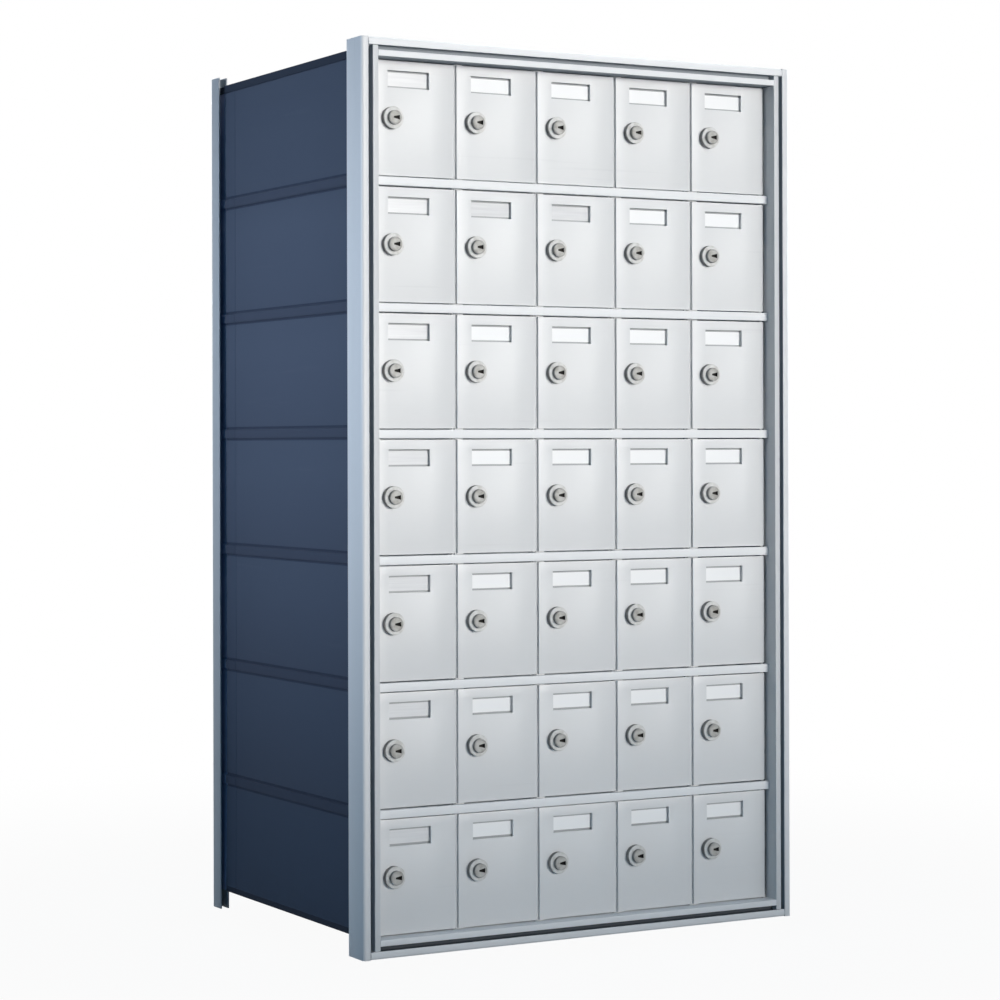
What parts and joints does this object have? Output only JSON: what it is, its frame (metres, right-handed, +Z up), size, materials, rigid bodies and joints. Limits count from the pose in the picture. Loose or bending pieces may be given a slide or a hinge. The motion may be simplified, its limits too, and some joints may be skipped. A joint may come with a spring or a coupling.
{
  "type": "horizontal mailbox",
  "caption": "Free-standing bank of small hinged letter doors with cam locks and card windows, in an aluminium front frame with lapped sheet sides and an open back.",
  "frame": {"origin": "centre of the footprint on the floor, under the middle of the cabinet", "axes": "+Z up, doors face -Y, +X to the viewer's right"},
  "size_m": [0.5534, 0.4, 0.983],
  "materials": {
    "frame_aluminium": "satin anodised extrusion",
    "door_aluminium": "fine satin anodised sheet",
    "cabinet_paint": "dark slate-blue satin paint",
    "inner_sheet": "mill finish sheet",
    "rod_steel": "bright drawn rod",
    "lock_nickel": "nickel plate, slightly warm"
  },
  "bodies": {
    "cabinet": {"front_stile_left": "frame_aluminium", "front_stile_right": "frame_aluminium", "front_header": "frame_aluminium", "front_sill": "frame_aluminium", "door_rails": "frame_aluminium", "mullions": "frame_aluminium", "hinge_rods": "rod_steel", "side_panels_left": "cabinet_paint", "side_panels_right": "cabinet_paint", "top_cover": "cabinet_paint", "floor_pan": "inner_sheet", "shelves": "inner_sheet", "dividers": "inner_sheet", "rear_upright_left": "frame_aluminium", "rear_upright_right": "frame_aluminium"},
    "door_r1_c1": {"door_r1_c1": "door_aluminium"},
    "door_r1_c2": {"door_r1_c2": "door_aluminium"},
    "door_r1_c3": {"door_r1_c3": "door_aluminium"},
    "door_r1_c4": {"door_r1_c4": "door_aluminium"},
    "door_r1_c5": {"door_r1_c5": "door_aluminium"},
    "lock_plug_r1_c1": {"lock_plug_r1_c1": "lock_nickel"},
    "door_r2_c1": {"door_r2_c1": "door_aluminium"},
    "door_r2_c2": {"door_r2_c2": "door_aluminium"},
    "door_r2_c3": {"door_r2_c3": "door_aluminium"},
    "door_r2_c4": {"door_r2_c4": "door_aluminium"},
    "door_r2_c5": {"door_r2_c5": "door_aluminium"},
    "lock_plug_r2_c1": {"lock_plug_r2_c1": "lock_nickel"},
    "door_r3_c1": {"door_r3_c1": "door_aluminium"},
    "door_r3_c2": {"door_r3_c2": "door_aluminium"},
    "door_r3_c3": {"door_r3_c3": "door_aluminium"},
    "door_r3_c4": {"door_r3_c4": "door_aluminium"},
    "door_r3_c5": {"door_r3_c5": "door_aluminium"},
    "lock_plug_r3_c1": {"lock_plug_r3_c1": "lock_nickel"},
    "door_r4_c1": {"door_r4_c1": "door_aluminium"},
    "door_r4_c2": {"door_r4_c2": "door_aluminium"},
    "door_r4_c3": {"door_r4_c3": "door_aluminium"},
    "door_r4_c4": {"door_r4_c4": "door_aluminium"},
    "door_r4_c5": {"door_r4_c5": "door_aluminium"},
    "lock_plug_r4_c1": {"lock_plug_r4_c1": "lock_nickel"},
    "door_r5_c1": {"door_r5_c1": "door_aluminium"},
    "door_r5_c2": {"door_r5_c2": "door_aluminium"},
    "door_r5_c3": {"door_r5_c3": "door_aluminium"},
    "door_r5_c4": {"door_r5_c4": "door_aluminium"},
    "door_r5_c5": {"door_r5_c5": "door_aluminium"},
    "lock_plug_r5_c1": {"lock_plug_r5_c1": "lock_nickel"},
    "door_r6_c1": {"door_r6_c1": "door_aluminium"},
    "door_r6_c2": {"door_r6_c2": "door_aluminium"},
    "door_r6_c3": {"door_r6_c3": "door_aluminium"},
    "door_r6_c4": {"door_r6_c4": "door_aluminium"},
    "door_r6_c5": {"door_r6_c5": "door_aluminium"},
    "lock_plug_r6_c1": {"lock_plug_r6_c1": "lock_nickel"},
    "door_r7_c1": {"door_r7_c1": "door_aluminium"},
    "door_r7_c2": {"door_r7_c2": "door_aluminium"},
    "door_r7_c3": {"door_r7_c3": "door_aluminium"},
    "door_r7_c4": {"door_r7_c4": "door_aluminium"},
    "door_r7_c5": {"door_r7_c5": "door_aluminium"},
    "lock_plug_r7_c1": {"lock_plug_r7_c1": "lock_nickel"}
  },
  "joints": [
    {"name": "door_r1_c1_hinge", "type": "hinge", "parent": "cabinet", "child": "door_r1_c1", "pos_m": [-0.1573, -0.179, 0.8995], "axis": [0, 0, 1], "range_deg": [0, 90]},
    {"name": "door_r1_c2_hinge", "type": "hinge", "parent": "cabinet", "child": "door_r1_c2", "pos_m": [-0.0551, -0.179, 0.8995], "axis": [0, 0, 1], "range_deg": [0, 90]},
    {"name": "door_r1_c3_hinge", "type": "hinge", "parent": "cabinet", "child": "door_r1_c3", "pos_m": [0.0471, -0.179, 0.8995], "axis": [0, 0, 1], "range_deg": [0, 90]},
    {"name": "door_r1_c4_hinge", "type": "hinge", "parent": "cabinet", "child": "door_r1_c4", "pos_m": [0.1493, -0.179, 0.8995], "axis": [0, 0, 1], "range_deg": [0, 90]},
    {"name": "door_r1_c5_hinge", "type": "hinge", "parent": "cabinet", "child": "door_r1_c5", "pos_m": [0.2515, -0.179, 0.8995], "axis": [0, 0, 1], "range_deg": [0, 90]},
    {"name": "lock_plug_r1_c1_turn", "type": "hinge", "parent": "door_r1_c1", "child": "lock_plug_r1_c1", "pos_m": [-0.232, -0.182, 0.8995], "axis": [0, 1, 0], "range_deg": [0, 90]},
    {"name": "door_r2_c1_hinge", "type": "hinge", "parent": "cabinet", "child": "door_r2_c1", "pos_m": [-0.1573, -0.179, 0.7635], "axis": [0, 0, 1], "range_deg": [0, 90]},
    {"name": "door_r2_c2_hinge", "type": "hinge", "parent": "cabinet", "child": "door_r2_c2", "pos_m": [-0.0551, -0.179, 0.7635], "axis": [0, 0, 1], "range_deg": [0, 90]},
    {"name": "door_r2_c3_hinge", "type": "hinge", "parent": "cabinet", "child": "door_r2_c3", "pos_m": [0.0471, -0.179, 0.7635], "axis": [0, 0, 1], "range_deg": [0, 90]},
    {"name": "door_r2_c4_hinge", "type": "hinge", "parent": "cabinet", "child": "door_r2_c4", "pos_m": [0.1493, -0.179, 0.7635], "axis": [0, 0, 1], "range_deg": [0, 90]},
    {"name": "door_r2_c5_hinge", "type": "hinge", "parent": "cabinet", "child": "door_r2_c5", "pos_m": [0.2515, -0.179, 0.7635], "axis": [0, 0, 1], "range_deg": [0, 90]},
    {"name": "lock_plug_r2_c1_turn", "type": "hinge", "parent": "door_r2_c1", "child": "lock_plug_r2_c1", "pos_m": [-0.232, -0.182, 0.7635], "axis": [0, 1, 0], "range_deg": [0, 90]},
    {"name": "door_r3_c1_hinge", "type": "hinge", "parent": "cabinet", "child": "door_r3_c1", "pos_m": [-0.1573, -0.179, 0.6275], "axis": [0, 0, 1], "range_deg": [0, 90]},
    {"name": "door_r3_c2_hinge", "type": "hinge", "parent": "cabinet", "child": "door_r3_c2", "pos_m": [-0.0551, -0.179, 0.6275], "axis": [0, 0, 1], "range_deg": [0, 90]},
    {"name": "door_r3_c3_hinge", "type": "hinge", "parent": "cabinet", "child": "door_r3_c3", "pos_m": [0.0471, -0.179, 0.6275], "axis": [0, 0, 1], "range_deg": [0, 90]},
    {"name": "door_r3_c4_hinge", "type": "hinge", "parent": "cabinet", "child": "door_r3_c4", "pos_m": [0.1493, -0.179, 0.6275], "axis": [0, 0, 1], "range_deg": [0, 90]},
    {"name": "door_r3_c5_hinge", "type": "hinge", "parent": "cabinet", "child": "door_r3_c5", "pos_m": [0.2515, -0.179, 0.6275], "axis": [0, 0, 1], "range_deg": [0, 90]},
    {"name": "lock_plug_r3_c1_turn", "type": "hinge", "parent": "door_r3_c1", "child": "lock_plug_r3_c1", "pos_m": [-0.232, -0.182, 0.6275], "axis": [0, 1, 0], "range_deg": [0, 90]},
    {"name": "door_r4_c1_hinge", "type": "hinge", "parent": "cabinet", "child": "door_r4_c1", "pos_m": [-0.1573, -0.179, 0.4915], "axis": [0, 0, 1], "range_deg": [0, 90]},
    {"name": "door_r4_c2_hinge", "type": "hinge", "parent": "cabinet", "child": "door_r4_c2", "pos_m": [-0.0551, -0.179, 0.4915], "axis": [0, 0, 1], "range_deg": [0, 90]},
    {"name": "door_r4_c3_hinge", "type": "hinge", "parent": "cabinet", "child": "door_r4_c3", "pos_m": [0.0471, -0.179, 0.4915], "axis": [0, 0, 1], "range_deg": [0, 90]},
    {"name": "door_r4_c4_hinge", "type": "hinge", "parent": "cabinet", "child": "door_r4_c4", "pos_m": [0.1493, -0.179, 0.4915], "axis": [0, 0, 1], "range_deg": [0, 90]},
    {"name": "door_r4_c5_hinge", "type": "hinge", "parent": "cabinet", "child": "door_r4_c5", "pos_m": [0.2515, -0.179, 0.4915], "axis": [0, 0, 1], "range_deg": [0, 90]},
    {"name": "lock_plug_r4_c1_turn", "type": "hinge", "parent": "door_r4_c1", "child": "lock_plug_r4_c1", "pos_m": [-0.232, -0.182, 0.4915], "axis": [0, 1, 0], "range_deg": [0, 90]},
    {"name": "door_r5_c1_hinge", "type": "hinge", "parent": "cabinet", "child": "door_r5_c1", "pos_m": [-0.1573, -0.179, 0.3555], "axis": [0, 0, 1], "range_deg": [0, 90]},
    {"name": "door_r5_c2_hinge", "type": "hinge", "parent": "cabinet", "child": "door_r5_c2", "pos_m": [-0.0551, -0.179, 0.3555], "axis": [0, 0, 1], "range_deg": [0, 90]},
    {"name": "door_r5_c3_hinge", "type": "hinge", "parent": "cabinet", "child": "door_r5_c3", "pos_m": [0.0471, -0.179, 0.3555], "axis": [0, 0, 1], "range_deg": [0, 90]},
    {"name": "door_r5_c4_hinge", "type": "hinge", "parent": "cabinet", "child": "door_r5_c4", "pos_m": [0.1493, -0.179, 0.3555], "axis": [0, 0, 1], "range_deg": [0, 90]},
    {"name": "door_r5_c5_hinge", "type": "hinge", "parent": "cabinet", "child": "door_r5_c5", "pos_m": [0.2515, -0.179, 0.3555], "axis": [0, 0, 1], "range_deg": [0, 90]},
    {"name": "lock_plug_r5_c1_turn", "type": "hinge", "parent": "door_r5_c1", "child": "lock_plug_r5_c1", "pos_m": [-0.232, -0.182, 0.3555], "axis": [0, 1, 0], "range_deg": [0, 90]},
    {"name": "door_r6_c1_hinge", "type": "hinge", "parent": "cabinet", "child": "door_r6_c1", "pos_m": [-0.1573, -0.179, 0.2195], "axis": [0, 0, 1], "range_deg": [0, 90]},
    {"name": "door_r6_c2_hinge", "type": "hinge", "parent": "cabinet", "child": "door_r6_c2", "pos_m": [-0.0551, -0.179, 0.2195], "axis": [0, 0, 1], "range_deg": [0, 90]},
    {"name": "door_r6_c3_hinge", "type": "hinge", "parent": "cabinet", "child": "door_r6_c3", "pos_m": [0.0471, -0.179, 0.2195], "axis": [0, 0, 1], "range_deg": [0, 90]},
    {"name": "door_r6_c4_hinge", "type": "hinge", "parent": "cabinet", "child": "door_r6_c4", "pos_m": [0.1493, -0.179, 0.2195], "axis": [0, 0, 1], "range_deg": [0, 90]},
    {"name": "door_r6_c5_hinge", "type": "hinge", "parent": "cabinet", "child": "door_r6_c5", "pos_m": [0.2515, -0.179, 0.2195], "axis": [0, 0, 1], "range_deg": [0, 90]},
    {"name": "lock_plug_r6_c1_turn", "type": "hinge", "parent": "door_r6_c1", "child": "lock_plug_r6_c1", "pos_m": [-0.232, -0.182, 0.2195], "axis": [0, 1, 0], "range_deg": [0, 90]},
    {"name": "door_r7_c1_hinge", "type": "hinge", "parent": "cabinet", "child": "door_r7_c1", "pos_m": [-0.1573, -0.179, 0.0835], "axis": [0, 0, 1], "range_deg": [0, 90]},
    {"name": "door_r7_c2_hinge", "type": "hinge", "parent": "cabinet", "child": "door_r7_c2", "pos_m": [-0.0551, -0.179, 0.0835], "axis": [0, 0, 1], "range_deg": [0, 90]},
    {"name": "door_r7_c3_hinge", "type": "hinge", "parent": "cabinet", "child": "door_r7_c3", "pos_m": [0.0471, -0.179, 0.0835], "axis": [0, 0, 1], "range_deg": [0, 90]},
    {"name": "door_r7_c4_hinge", "type": "hinge", "parent": "cabinet", "child": "door_r7_c4", "pos_m": [0.1493, -0.179, 0.0835], "axis": [0, 0, 1], "range_deg": [0, 90]},
    {"name": "door_r7_c5_hinge", "type": "hinge", "parent": "cabinet", "child": "door_r7_c5", "pos_m": [0.2515, -0.179, 0.0835], "axis": [0, 0, 1], "range_deg": [0, 90]},
    {"name": "lock_plug_r7_c1_turn", "type": "hinge", "parent": "door_r7_c1", "child": "lock_plug_r7_c1", "pos_m": [-0.232, -0.182, 0.0835], "axis": [0, 1, 0], "range_deg": [0, 90]}
  ]
}
